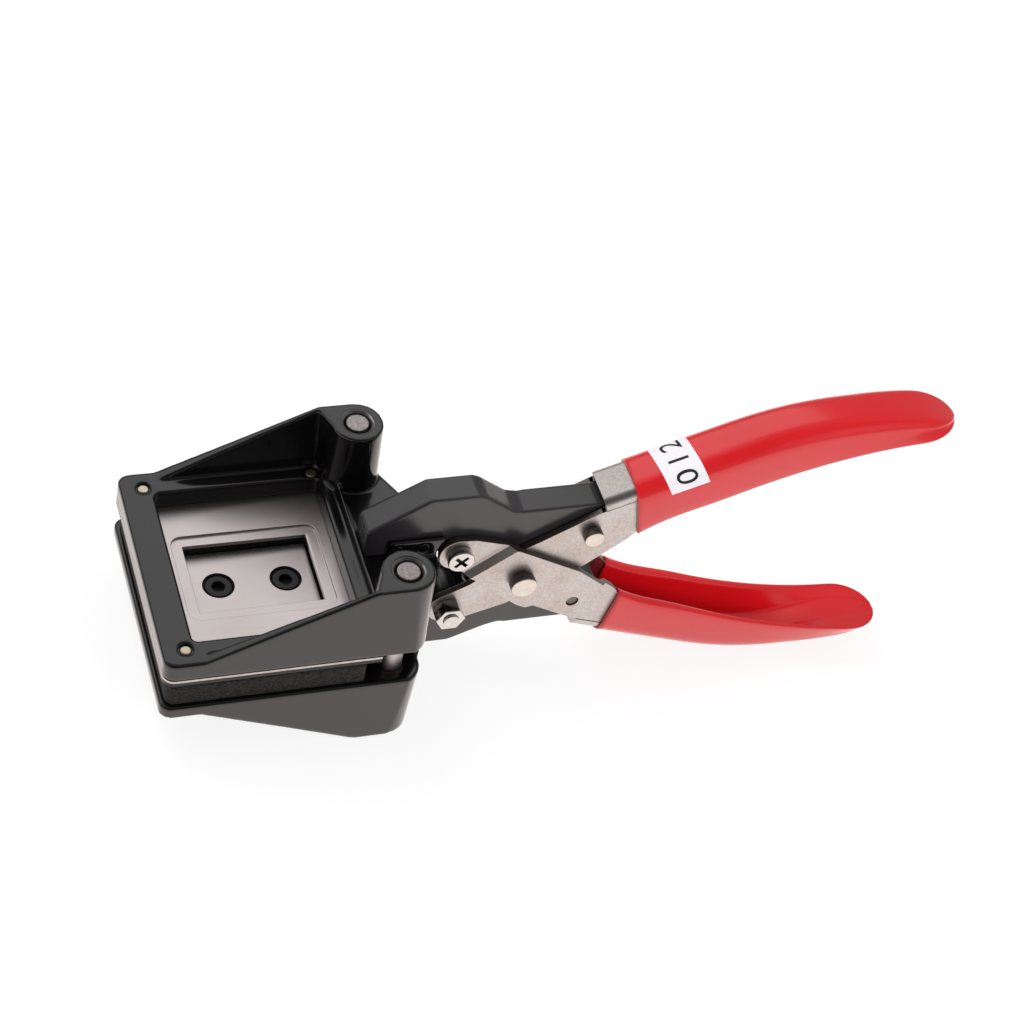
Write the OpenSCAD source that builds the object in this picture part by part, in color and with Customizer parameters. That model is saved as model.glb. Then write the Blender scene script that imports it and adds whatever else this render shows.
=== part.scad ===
// Hand-held cutter for ID photos: a punch and die on two guide posts,
// closed by the handles of a parallel-action plier.
// Lengths are in millimetres. Until the last step every size is measured from
// the guide posts (x), the middle of the tool (y) and the upper casting's inner face (z).

/* [Print and die] */
// Length of the finished print, along the tool
print_l = 32; // [26:0.5:35]
// Width of the finished print, across the tool
print_w = 22; // [16:0.5:38]
// How far the opening sits ahead of the middle of the window
print_shift = 0.4; // [0:0.1:1]
// Gap between punch and die on each side
shear_gap = 0.05; // [0.03:0.01:0.12]
// Thickness of the die plate
die_t = 2; // [1.6:0.1:3]
// Depth of the shallow recess round the opening
recess_depth = 0.7; // [0.3:0.1:1.2]
// Width of the recess round the opening
recess_margin = 2.9; // [1.5:0.1:3.3]
// Height of the slot for the photo paper, above the punch
paper_slot = 2.1; // [1:0.1:3]
// How far the foam pad stands above the punch
pad_proud = 0.3; // [0:0.1:0.8]
// How far the foam pad stays inside the edge of the casting
pad_inset = 1.2; // [0.5:0.1:4]

/* [Castings] */
// Length of the window
window_l = 42.7; // [41:0.1:52]
// Width of the window
window_w = 48.8; // [44:0.1:60]
// Rim ahead of the window
front_rim = 8.3; // [7.5:0.1:12]
// Rim beside the window
side_rim = 7.6; // [7.4:0.1:12]
// Distance from the window back to the guide posts
post_setback = 8.7; // [8.5:0.1:12]
// Gap between the two castings when the tool is open
head_gap = 10.7; // [10:0.1:13]
// Thickness of the upper casting's plate
upper_plate_t = 5.5; // [4.5:0.1:7]
// Thickness of the lower casting's plate
lower_plate_t = 3.6; // [3:0.1:5]
// Height of the upper guide bosses
upper_boss_h = 24.2; // [20:0.1:28]
// Height of the lower guide bosses
lower_boss_h = 21.5; // [18:0.1:26]
// Radius of a guide boss at its free end
boss_r = 6.7; // [5.5:0.1:7]
// Extra radius of a boss at its foot
boss_draft = 0.9; // [0.3:0.1:1.2]
// Thickness of a side wall at its foot
wall_foot_t = 3.2; // [2.4:0.1:3.5]
// Thickness of a side wall along its edge
wall_edge_t = 1.5; // [1:0.1:2.2]
// Length of the low part at the front, before the walls rise
wall_toe = 9.9; // [6:0.1:16]
// Length of the level part of a wall ahead of the posts
wall_flat = 9.5; // [7.5:0.1:14]
// Radius of the front corners
corner_r = 3; // [1.5:0.1:5]
// Diameter of a guide post
post_d = 6; // [5:0.1:7]

/* [Arms] */
// Width of an arm
arm_w = 8.1; // [7:0.1:10]
// Distance from the guide posts to the centre rivet
pivot_x = 39.4; // [38:0.1:44]
// Distance from the centre rivet forward to the jaw bolts
front_dx = 18.2; // [17:0.1:20]
// Distance of the jaw bolts above and below the centre rivet
front_dz = 10.4; // [10:0.1:12]
// Distance from the centre rivet back to the slide rivets
rear_dx = 17.4; // [16:0.1:19]
// Distance of the slide rivets above and below the centre rivet
rear_dz = 13.7; // [13:0.1:14.5]
// Distance from the centre rivet to the arms' inner edges
arm_clear = 9.1; // [8.5:0.1:10]
// How far the upper head comes down
stroke = 4; // [2.5:0.1:5]

/* [Handles] */
// Thickness of the handle sheet
sheet_t = 1.8; // [1.4:0.1:2.2]
// Radius of the front ears
ear_r = 5.2; // [4.6:0.1:5.6]
// Distance from the centre rivet back to the mouth of the channel
mouth_x = 19; // [18.5:0.1:22]
// Slope of the straight part of a grip
grip_slope = 20.7; // [18:0.1:23]
// Bend radius of a grip's back
grip_bend_r = 93; // [80:1:105]
// Distance from the centre rivet back to the crown of the bend
grip_crown_x = 88; // [86:1:92]
// Height of the crown above the centre rivet
grip_crown_z = 45.3; // [43:0.1:48]
// Distance from the centre rivet back to the end of a grip
grip_end = 116.5; // [112:0.5:124]
// Distance from the centre rivet back to the front edge of a grip
grip_front = 28.6; // [27.5:0.1:31]
// Width of a grip
grip_w = 15.4; // [14.8:0.1:17]
// Depth of a grip along its straight part
grip_depth = 16.8; // [15.5:0.1:18]
// Depth of a grip near its end
grip_tip_depth = 6; // [5.5:0.1:8]
// Thickness of the vinyl skin outside the sheet
skin_t = 1.3; // [1:0.1:1.6]
// Thickness of the vinyl skin inside the channel
lining_t = 0.7; // [0.6:0.1:1]

/* [Fasteners and spring] */
// Diameter of the jaw bolts
bolt_d = 4; // [3:0.1:4.5]
// Width across flats of the jaw nuts
nut_af = 7; // [6:0.1:8]
// Shank diameter of the centre rivet
pivot_d = 5; // [4:0.1:6]
// Head diameter of the centre rivet
pivot_head_d = 7; // [6.5:0.1:9]
// Shank diameter of the slide rivets
slide_d = 3.4; // [3:0.1:4]
// Head diameter of the slide rivets
slide_head_d = 5.3; // [4.8:0.1:6]
// Diameter of the cross pins in the arms
arm_pin_d = 3; // [2:0.1:3.4]
// Diameter of the die plate's screws
die_screw_d = 3; // [2.5:0.1:3]
// Diameter of the punch's screws
punch_screw_d = 4; // [3:0.1:4]
// Distance between the punch's screws
punch_screw_pitch = 17.4; // [14:0.1:20]
// Wire diameter of the return spring
spring_wire = 1; // [0.8:0.1:1.3]
// Outside diameter of the return spring
spring_od = 7.6; // [6:0.1:7.8]
// Coils of the return spring
spring_turns = 5.5; // [4:0.5:6.5]

/* [Hidden] */
$fn = 64;
// Overrun of a cut past the face that it opens
cut = 1;

// Clearances
post_gap = 0.03;
press_gap = 0.01;
pin_gap = 0.02;
joint_gap = 0.08;
open_pivot_gap = 0.15;
slot_gap = 0.2;
seat_gap = 0.05;
arm_side_gap = 0.5;
socket_gap = 0.1;
leg_gap = 0.1;
pocket_gap = 0.15;
pocket_rim = 0.1;
ear_gap = 0.7;
tail_gap = 0.5;

// Head
head_w = window_w + 2 * side_rim;
head_front = post_setback + window_l + front_rim;
post_y = head_w / 2 - boss_r;
die_x = -(post_setback + window_l / 2 + print_shift);
die_rear = -4.9;
mid_z = -head_gap / 2;
punch_top = -die_t - paper_slot;
pad_top = punch_top + pad_proud;
pad_rear = -8;
screw_inset = 2.3;
die_screw_y = window_w / 2 + screw_inset;
die_screw_front = -(post_setback + window_l + screw_inset);
die_screw_rear = -(post_setback + 1.1);
tip_bore_over = 0.7;
tip_bore_d = die_screw_d + tip_bore_over;
tip_bore_depth = 0.8;
tip_short = 0.3;
die_head_over = 2.6;
die_head_d = die_screw_d + die_head_over;
die_head_h = (die_head_d - die_screw_d) / 2;
punch_head_over = 3;
punch_head_d = punch_screw_d + punch_head_over;
punch_head_h = punch_screw_d;
punch_bore_over = 1.2;
punch_bore_d = punch_head_d + punch_bore_over;
punch_sink = 0.3;
punch_bore_depth = punch_head_h + punch_sink;
mouth_sink = 1.2;
mouth_over = 2.5;
post_short = 0.2;

// Rib, gusset and socket that carry an arm
rib_front = -5;
rib_t = 1.1;
rib_h = 2.2;
cheek_t = 1.6;
cheek_h = 5.8;
cheek_front = 2.5;
gusset_end = 17.1;
gusset_step = 0.8;
arm_pin_x = [4.5, 11.5];
arm_pin_rise = 3;

// Plier: positions are seen from the side, from the centre rivet
front_pin = [-front_dx, front_dz];
rear_pin = [rear_dx, rear_dz];
front_r = norm(front_pin);
front_a = atan2(front_dz, front_dx);
rear_r = norm(rear_pin);
rear_a = atan2(rear_dz, rear_dx);
swing = front_a - asin((front_dz - stroke / 2) / front_r);
slide = front_r * (cos(front_a - swing) - cos(front_a)) + rear_r * (cos(rear_a - swing) - cos(rear_a));
leg_in = arm_w / 2 + arm_side_gap;
leg_out = leg_in + sheet_t;
leg_lift = sheet_t + leg_gap;
raised_out = leg_out + leg_lift;
bend_in = 0.5;
bend_r = sheet_t + bend_in;
leg_drop = 0.8;
web_foot = 0.1;
web_depth = 2 * bend_r + web_foot;
web_inset = 0.02;
// Creases of a raised leg: direction towards the rivet and distance from it
front_crease_a = 52;
front_crease_r = 12.5;
front_crease = [front_crease_a, front_crease_r];
rear_crease_a = 256;
rear_crease_r = 13.6;
rear_crease = [rear_crease_a, rear_crease_r];
ramp = 1.6;
// Corners of a leg's outline: about its ear, and about the centre rivet
ear_tuck = 0.4;
ear_crest = [-1.8, ear_r - ear_tuck];
ear_notch = [4.9, 8.4];
ear_heel = [4.2, -4.8];
ear_toe = [0.6, ear_tuck / 4 - ear_r];
leg_shoulder = [0.2, 10];
leg_belly = [-2, -11.2];
leg_waist = [16.5, -0.4];
throat_lead = 0.3;
leg_throat = [grip_front - throat_lead, 9.8];
enter_run = 1.4;
leg_enter = grip_front + enter_run;

// Grip
grip_centre_z = grip_crown_z - grip_bend_r;
grip_flare = 2.4;
flare_run = 13.4;
flare_end = grip_front + flare_run;
taper_run = 59;
taper_power = 1.7;
nose_len = 11;
nose_start = grip_end - nose_len;
taper_start = nose_start - taper_run;
steel_short = 7;
steel_end = nose_start - steel_short;
trough_short = 2;
trough_end = nose_start - trough_short;
dip_tilt = tan(12);
grip_round = 5;
trough_round = 1.5;
trough_fade = 30;
trough_least = 0.8;
tip_narrow = 0.5;
rim_splay = 1;
open_lead = 2;
open_start = taper_start - open_lead;
lip_t = 1.1;
lip_power = 0.6;
dip_run = 8;
dip_thin = 0.55;
// Where the sheet's legs run out inside a grip
leg_taper_lead = 6;
leg_taper_run = 16;
leg_taper_start = taper_start - leg_taper_lead;
leg_end = leg_taper_start + leg_taper_run;
leg_inset = skin_t + bend_r + leg_drop;
leg_tail = 0.5;
steel_room = 0.5;
foot_room = 0.8;

// Arm
crest_drop = 0.2;
crest_lead = 9.3;
crest_run = 3.2;
crest_ease = [2.3, -0.8];
dip_lead = 2;
dip_ease = [-3, 0.8];
nose_drop = 9.6;
tail_cover = 2.4;
lobe_r = 4.8;
pin_x = pivot_x - front_dx;
pin_z = mid_z + front_dz;
tail_z = mid_z + crown(mouth_x, skin_t + sheet_t) - tail_gap;
tail_x = pivot_x + rear_dx + slide + slide_d / 2 + slot_gap + tail_cover;

// Fastener heads
bolt_head_over = 3;
bolt_head_d = bolt_d + bolt_head_over;
bolt_head_h = 2.6;
nut_h = 4.2;
bolt_tip = 0.6;
recess_w = 1;
recess_span = 0.64 * bolt_head_d;
recess_sink = 1.3;
pivot_head_h = 2.9;
slide_head_h = 2.8;
slide_recess = 1.2;

// Where the part's own origin lies: below the middle of its box
origin_x = (pivot_x + grip_end - head_front) / 2;
origin_z = mid_z - grip_crown_z;

// Height of a grip's back above the centre rivet, x back from the rivet, taken in by inset
function crown(x, inset) =
    let (r = grip_bend_r - inset, x0 = grip_crown_x - r * sin(grip_slope))
    grip_centre_z + (x < x0 ? r * cos(grip_slope) + tan(grip_slope) * (x - x0)
                            : sqrt(r * r - pow(x - grip_crown_x, 2)));

// Depth of a grip below its back
function depth(x) =
    x < flare_end ? grip_depth + grip_flare * pow((flare_end - x) / flare_run, 2)
    : grip_depth - (grip_depth - grip_tip_depth) * pow(max(0, x - taper_start) / taper_run, taper_power);

// Height of a grip's open edge above the centre rivet
function rim(x) = crown(x, 0) - depth(x);

// Moves a piece from the measuring point to the part's own origin
module in_place() {
    translate([-origin_x, 0, -origin_z]) children();
}

// Turns an upper piece over into its lower counterpart
module turned() {
    translate([0, 0, mid_z]) rotate([180, 0, 0]) translate([0, 0, -mid_z]) children();
}

// Moves a piece drawn about the centre rivet to its place
module at_pivot() {
    translate([pivot_x, 0, mid_z]) children();
}

// A side outline made solid between two values of y
module slab(y0, y1) {
    translate([0, y1, 0]) rotate([90, 0, 0]) linear_extrude(y1 - y0) children();
}

// A cylinder along y
module rod(d, y0, y1) {
    slab(y0, y1) circle(d = d);
}

// A rectangle with round corners, by its corners
module round_rect(x0, y0, x1, y1, r) {
    translate([x0 + r, y0]) square([x1 - x0 - 2 * r, y1 - y0]);
    translate([x0, y0 + r]) square([x1 - x0, y1 - y0 - 2 * r]);
    for (x = [x0 + r, x1 - r], y = [y0 + r, y1 - r]) translate([x, y]) circle(r);
}

// Both guide posts
module at_posts() {
    for (s = [-1, 1]) translate([0, s * post_y, 0]) children();
}

// The four die screws
module at_die_screws() {
    for (x = [die_screw_front, die_screw_rear], s = [-1, 1]) translate([x, s * die_screw_y, 0]) children();
}

// The two punch screws
module at_punch_screws() {
    for (s = [-1, 1]) translate([die_x + s * punch_screw_pitch / 2, 0, 0]) children();
}

// A casting of plate thickness t and boss height h, standing on its inner face
module casting(t, h) {
    half = head_w / 2;
    cheek_in = arm_w / 2 + socket_gap;
    cheek_out = cheek_in + cheek_t;
    foot_r = boss_r + boss_draft;
    difference() {
        union() {
            // Plate with the two rising side walls
            difference() {
                intersection() {
                    slab(-half, half) polygon([
                        [-head_front, 0], [0, 0], [0, h], [-wall_flat, h],
                        [wall_toe - head_front, t], [-head_front, t]
                    ]);
                    linear_extrude(h) round_rect(-head_front, -half, 2 * corner_r, half, corner_r);
                }
                translate([-head_front - cut, 0, 0]) rotate([90, 0, 90]) linear_extrude(head_front + 2 * cut)
                    polygon([
                        [wall_foot_t - half, t], [half - wall_foot_t, t],
                        [half - wall_edge_t, h + cut], [wall_edge_t - half, h + cut]
                    ]);
            }
            // Guide bosses, flush with the walls
            intersection() {
                union() {
                    at_posts() cylinder(h = h, r1 = foot_r, r2 = boss_r);
                    for (s = [-1, 1]) linear_extrude(h) polygon([
                        [-wall_flat, s * half], [0, s * half], [0, s * post_y], [-boss_r, s * post_y]
                    ]);
                }
                translate([-2 * boss_r, -half, 0]) cube([4 * boss_r, head_w, h]);
            }
            // Gusset behind the bosses and rib across them
            linear_extrude(t) polygon([
                [-cut, -post_y], [foot_r, gusset_step - post_y], [gusset_end, -cheek_out],
                [gusset_end, cheek_out], [foot_r, post_y - gusset_step], [-cut, post_y]
            ]);
            translate([rib_front, -post_y, 0]) cube([rib_t, 2 * post_y, t + rib_h]);
            // Cheeks of the socket for the arm
            for (s = [-1, 1]) translate([cheek_front, s * (cheek_in + cheek_t / 2) - cheek_t / 2, 0])
                cube([gusset_end - cheek_front, cheek_t, t + cheek_h]);
        }
        translate([pin_x, 0, pin_z]) rod(2 * (ear_r + ear_gap), -raised_out, raised_out);
        for (x = arm_pin_x) translate([x, 0, t + arm_pin_rise])
            rod(arm_pin_d + 2 * pin_gap, -cheek_out - cut, cheek_out + cut);
    }
}

module upper_frame() {
    color("#1c1c1f") in_place() difference() {
        casting(upper_plate_t, upper_boss_h);
        translate([0, 0, -cut]) linear_extrude(upper_plate_t + 2 * cut)
            round_rect(-post_setback - window_l, -window_w / 2, -post_setback, window_w / 2, cut);
        at_posts() {
            translate([0, 0, -cut]) cylinder(h = upper_boss_h + 2 * cut, d = post_d + 2 * post_gap);
            translate([0, 0, upper_boss_h - mouth_sink])
                cylinder(h = mouth_sink + seat_gap, d1 = post_d, d2 = post_d + mouth_over);
        }
        at_die_screws() {
            translate([0, 0, -cut]) cylinder(h = upper_plate_t + 2 * cut, d = die_screw_d + 2 * pin_gap);
            translate([0, 0, upper_plate_t - tip_bore_depth]) cylinder(h = upper_boss_h, d = tip_bore_d);
        }
    }
}

module lower_frame() {
    color("#1c1c1f") in_place() turned() difference() {
        casting(lower_plate_t, lower_boss_h);
        at_posts() translate([0, 0, -cut]) cylinder(h = lower_boss_h + 2 * cut, d = post_d + 2 * press_gap);
        at_punch_screws() translate([0, 0, -cut])
            cylinder(h = lower_plate_t + 2 * cut, d = punch_screw_d + 2 * pin_gap);
    }
}

// An arm for a casting of plate thickness t and boss height h
module arm(t, h) {
    crest = h - crest_drop;
    nose_x = rib_front + rib_t + socket_gap;
    crest_x = pin_x + crest_run;
    dip_x = pivot_x - dip_lead;
    inner_z = mid_z + arm_clear;
    root_end = pin_x - ear_r - tail_gap;
    slot_r = slide_d / 2 + slot_gap;
    difference() {
        union() {
            slab(-arm_w / 2, arm_w / 2) polygon([
                [nose_x, t], [nose_x, crest - nose_drop], [pin_x - crest_lead, crest], [crest_x, crest],
                [crest_x, crest] + crest_ease, [dip_x, tail_z] + dip_ease, [dip_x, tail_z],
                [tail_x, tail_z], [tail_x, inner_z], [pin_x, inner_z], [root_end, t]
            ]);
            translate([pin_x, 0, pin_z]) rod(2 * lobe_r, -arm_w / 2, arm_w / 2);
        }
        slab(-arm_w, arm_w) translate([pivot_x, mid_z] + rear_pin) {
            circle(slot_r);
            translate([0, -slot_r]) square([slide, 2 * slot_r]);
            translate([slide, 0]) circle(slot_r);
        }
        translate([pin_x, 0, pin_z]) rod(bolt_d + 2 * pin_gap, -arm_w, arm_w);
        for (x = arm_pin_x) translate([x, 0, t + arm_pin_rise]) rod(arm_pin_d + 2 * pin_gap, -arm_w, arm_w);
    }
}

module upper_arm() {
    color("#1c1c1f") in_place() arm(upper_plate_t, upper_boss_h);
}

module lower_arm() {
    color("#1c1c1f") in_place() turned() arm(lower_plate_t, lower_boss_h);
}

// The cross pins of an arm, flush with the cheeks
module arm_pins(t) {
    cheek_out = arm_w / 2 + socket_gap + cheek_t;
    for (x = arm_pin_x) translate([x, 0, t + arm_pin_rise]) rod(arm_pin_d, -cheek_out, cheek_out);
}

module upper_arm_pins() {
    color("#2a2a2c") in_place() arm_pins(upper_plate_t);
}

module lower_arm_pins() {
    color("#2a2a2c") in_place() turned() arm_pins(lower_plate_t);
}

module die_plate() {
    half_l = print_l / 2;
    half_w = print_w / 2;
    edge = head_w / 2;
    color("#c9c1bc") in_place() difference() {
        translate([0, 0, -die_t]) linear_extrude(die_t) intersection() {
            round_rect(-head_front, -edge, 2 * corner_r, edge, corner_r);
            translate([-head_front, -edge]) square([head_front + die_rear, head_w]);
        }
        translate([die_x, 0, -die_t - cut]) linear_extrude(die_t + 2 * cut)
            square([print_l, print_w], center = true);
        translate([die_x, 0, -recess_depth]) linear_extrude(die_t) round_rect(
            -half_l - recess_margin, -half_w - recess_margin, half_l + recess_margin, half_w + recess_margin,
            recess_margin
        );
        at_die_screws() {
            translate([0, 0, -die_t - cut]) cylinder(h = die_t + 2 * cut, d = die_screw_d + 2 * joint_gap);
            translate([0, 0, -die_t - seat_gap]) cylinder(
                h = die_head_h + joint_gap, d1 = die_head_d + 2 * joint_gap, d2 = die_screw_d
            );
        }
    }
}

module die_screws() {
    color("#b8b2ac") in_place() at_die_screws() {
        translate([0, 0, -die_t]) cylinder(h = die_head_h, d1 = die_head_d, d2 = die_screw_d);
        translate([0, 0, -die_t]) cylinder(h = die_t + upper_plate_t - tip_short, d = die_screw_d);
    }
}

module punch_block() {
    height = head_gap + punch_top;
    color("#b9b0ae") in_place() translate([0, 0, -head_gap]) difference() {
        translate([die_x, 0, 0]) linear_extrude(height)
            square([print_l - 2 * shear_gap, print_w - 2 * shear_gap], center = true);
        at_punch_screws() {
            translate([0, 0, -cut]) cylinder(h = height, d = punch_screw_d + 2 * joint_gap);
            translate([0, 0, height - punch_bore_depth]) cylinder(h = height, d = punch_bore_d);
        }
    }
}

module punch_screws() {
    seat = punch_top - punch_bore_depth;
    bottom = -head_gap - lower_plate_t;
    color("#2c2c2e") in_place() at_punch_screws() difference() {
        union() {
            translate([0, 0, seat]) cylinder(h = punch_head_h, d = punch_head_d);
            translate([0, 0, bottom]) cylinder(h = seat - bottom + cut, d = punch_screw_d);
        }
        translate([0, 0, seat + punch_head_h / 2])
            cylinder(h = punch_head_h, d = 0.87 * punch_screw_d, $fn = 6);
    }
}

module stripper_pad() {
    edge = head_w / 2 - pad_inset;
    gap_x = print_l / 2 + cut;
    gap_y = print_w / 2 + cut;
    color("#2b2826") in_place() translate([0, 0, -head_gap]) linear_extrude(head_gap + pad_top) difference() {
        intersection() {
            round_rect(pad_inset - head_front, -edge, 2 * corner_r, edge, corner_r - pad_inset / 2);
            translate([-head_front, -edge]) square([head_front + pad_rear, 2 * edge]);
        }
        translate([die_x - gap_x, -gap_y]) square([2 * gap_x, 2 * gap_y]);
    }
}

module guide_posts() {
    bottom = -head_gap - lower_boss_h;
    color("#cfc9c4") in_place() at_posts() translate([0, 0, bottom])
        cylinder(h = upper_boss_h - post_short - bottom, d = post_d);
}

// One leg of the upper handle between two values of y, about the centre rivet
module leg(y0, y1) {
    ear = [-front_dx, -front_dz];
    n = 10;
    back = [for (i = [0:n]) leg_enter + (leg_end - leg_enter) * i / n];
    slab(y0, y1) polygon(concat(
        [ear + ear_crest, ear + ear_notch, leg_shoulder, [mouth_x, crown(mouth_x, leg_inset)]],
        [for (x = back) [x, crown(x, leg_inset)]],
        [for (i = [n:-1:0]) [back[i], leg_edge(back[i], 0)]],
        [leg_throat, leg_waist, leg_belly, ear + ear_heel, ear + ear_toe]
    ));
}

// The round end of a leg
module ear(y0, y1) {
    translate([-front_dx, 0, -front_dz]) rod(2 * ear_r, y0, y1);
}

// Section of the bent sheet along a handle's back, at bend radius r, set just inside the legs' faces
module web_section(r) {
    half_out = leg_out - web_inset;
    half_in = leg_in + web_inset;
    difference() {
        union() {
            translate([r - web_depth, -half_out]) square([web_depth - bend_r, 2 * half_out]);
            translate([r - web_depth, bend_r - half_out]) square([web_depth, 2 * (half_out - bend_r)]);
            for (s = [-1, 1]) translate([r - bend_r, s * (half_out - bend_r)]) circle(bend_r);
        }
        translate([r - web_depth - cut, -half_in]) square([web_depth + cut - sheet_t, 2 * half_in]);
    }
}

// The bent back: a straight run from the mouth, then the bend
module handle_web() {
    r = grip_bend_r - skin_t;
    bend_x = grip_crown_x - r * sin(grip_slope);
    run = (bend_x - mouth_x) / cos(grip_slope);
    past = asin((steel_end - grip_crown_x) / r);
    translate([grip_crown_x, 0, grip_centre_z]) rotate([90, 0, 0]) {
        rotate([0, 0, 90 + grip_slope]) {
            mirror([0, 1, 0]) rotate_extrude(angle = grip_slope + past, $fn = 180) web_section(r);
            translate([0, run, 0]) rotate([90, 0, 0]) linear_extrude(run) web_section(r);
        }
    }
}

// A prism along a crease: its outline runs across the crease and outwards
module along(crease) {
    rotate([0, -crease[0], 0]) translate([-crease[1], 0, 0]) linear_extrude(4 * grip_end, center = true)
        children();
}

// What a crease takes off the outside of the sheet, on the side away from the rivet
module crease_outside(crease) {
    along(crease) polygon([
        [-2 * grip_end, leg_out], [0, leg_out], [2 * ramp, leg_out + 2 * leg_lift],
        [-2 * grip_end, leg_out + 2 * leg_lift]
    ]);
}

// What a crease takes off the inside of the sheet, on the rivet's side
module crease_inside(crease) {
    along(crease) polygon([
        [-ramp, leg_in - leg_lift], [ramp, leg_in + leg_lift], [2 * grip_end, leg_in + leg_lift],
        [2 * grip_end, leg_in - leg_lift]
    ]);
}

// A handle, drawn as the upper one: plain leg in front, raised leg behind
module handle_plate(hole_d) {
    at_pivot() difference() {
        union() {
            leg(-leg_out, -leg_in);
            ear(-leg_out, -leg_in);
            difference() {
                leg(leg_in, raised_out);
                crease_outside(front_crease);
                crease_outside(rear_crease);
                intersection() {
                    crease_inside(front_crease);
                    crease_inside(rear_crease);
                }
            }
            ear(leg_in, leg_out);
            handle_web();
        }
        rod(hole_d, -2 * raised_out, 2 * raised_out);
        translate([-front_dx, 0, -front_dz]) rod(bolt_d + 2 * joint_gap, -2 * leg_out, 2 * leg_out);
        translate([rear_dx, 0, rear_dz]) rod(slide_d + 2 * pin_gap, -2 * leg_out, 2 * leg_out);
    }
}

module upper_handle_plate() {
    color("#cdc5bf") in_place() handle_plate(pivot_d + 2 * pin_gap);
}

module lower_handle_plate() {
    color("#cdc5bf") in_place() turned() handle_plate(pivot_d + 2 * open_pivot_gap);
}

// One ring of points round a channel section: back, rims and trough, by half widths
function ring(top, edge, w_top, w_rim, w_in, w_floor, roof, r_out, r_in, rim_max) =
    let (
        rim_r = (w_rim - w_in) / 2,
        rim_h = min(rim_r, rim_max, 0.55 * (roof - edge)),
        r = min(r_in, 0.4 * (roof - edge)),
        right = concat(
            [for (a = [90:-22.5:0]) [w_top - r_out + r_out * cos(a), top - r_out + r_out * sin(a)]],
            [for (a = [0:-45:-180]) [w_in + rim_r + rim_r * cos(a), edge + rim_h + rim_h * sin(a)]],
            [for (a = [0:30:90]) [w_floor - r + r * cos(a), roof - r + r * sin(a)]]
        ),
        last = len(right) - 1
    )
    concat(right, [for (i = [last:-1:0]) [-right[i][0], right[i][1]]]);

// Lean of the rings: that of the dip line at the front, upright at the end
function tilt(x) = dip_tilt * (grip_end - x) / (grip_end - grip_front);

// A ring set at x, leaning, and drawn in about its middle by share
function lean(points, x, mid, share) =
    [for (p = points) [x - tilt(x) * (p[1] - mid) * share, p[0] * share, mid + (p[1] - mid) * share]];

// Thickness of the skin below the sheet's edge, thin where the dip begins
function rim_skin(x) = skin_t * min(1, dip_thin + (1 - dip_thin) * (x - grip_front) / dip_run);

// Edge of the sheet's leg at x: the full leg in front, only the bent back behind, from a start set late
function leg_edge(x, late) =
    let (
        start = leg_taper_start + late,
        full = depth(start) - skin_t,
        gone = min(1, max(0, (x - start) / leg_taper_run))
    )
    x < start ? rim(x) + rim_skin(x)
    : crown(x, 0) - full + (full - leg_inset - leg_tail) * gone;

// Depth of the trough's floor below a grip's back: under the lined sheet, and falling away near the end
function cover(x) =
    let (
        left = min(1, max(0, (trough_end - x) / trough_fade)),
        lined = crown(x, 0) - crown(x, skin_t + sheet_t + lining_t),
        shallow = depth(x) - trough_least
    )
    shallow + (lined - shallow) * left * (2 - left);

// Height of the pocket's foot: below the legs, and below the bent back behind them
function pocket_foot(x) = min(leg_edge(x, foot_room), crown(x, skin_t + web_depth)) - pocket_gap;

// Half the width of the trough at its rims: it opens out behind the legs
function mouth_half(x, w_rim) =
    let (open = pow(min(1, max(0, (x - open_start) / taper_run)), lip_power))
    leg_in - lining_t + (w_rim - lip_t - leg_in + lining_t) * open;

// A ring of the skin's outside at x
function skin_ring(x) =
    let (
        lag = tilt(x) * depth(x) / 2,
        top = crown(x - lag, 0),
        edge = rim(x + lag),
        spread = pow(max(0, x - taper_start) / taper_run, 2),
        w_top = grip_w / 2 - tip_narrow * spread,
        w_rim = grip_w / 2 + rim_splay * spread,
        share = sqrt(max(0.02, 1 - pow(max(0, x - nose_start) / nose_len, 2))),
        r_out = min(grip_round, 0.45 * depth(x)),
        w_floor = leg_in - lining_t,
        roof = crown(x - lag * (1 - 2 * cover(x) / depth(x)), 0) - cover(x)
    )
    lean(
        ring(top, edge, w_top, w_rim, mouth_half(x, w_rim), w_floor, roof, r_out, trough_round, grip_w),
        x, (top + edge) / 2, share
    );

// A ring of the pocket that holds the sheet at x
function pocket_ring(x) =
    let (
        near = tilt(x) * (crown(x, skin_t) - pocket_foot(x)) / 2,
        tall = crown(x - near, skin_t) - pocket_foot(x + near),
        lag = tilt(x) * tall / 2,
        top = crown(x - lag, skin_t - pocket_gap),
        edge = pocket_foot(x + lag),
        roof = crown(x - lag * (1 - 2 * sheet_t / tall), skin_t + sheet_t + pocket_gap),
        w_out = leg_out + pocket_gap,
        w_in = leg_in - pocket_gap
    )
    lean(
        ring(top, edge, w_out, w_out, w_in, w_in, roof, bend_r, trough_round / 2, pocket_rim),
        x, (top + edge) / 2, 1
    );

// Triangles between two rings of n points that start at a and b
function band(a, b, n) = [
    for (i = [0:n - 1], k = [0, 1]) let (j = (i + 1) % n)
        k == 0 ? [a + i, b + j, b + i] : [a + i, a + j, b + j]
];

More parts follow.
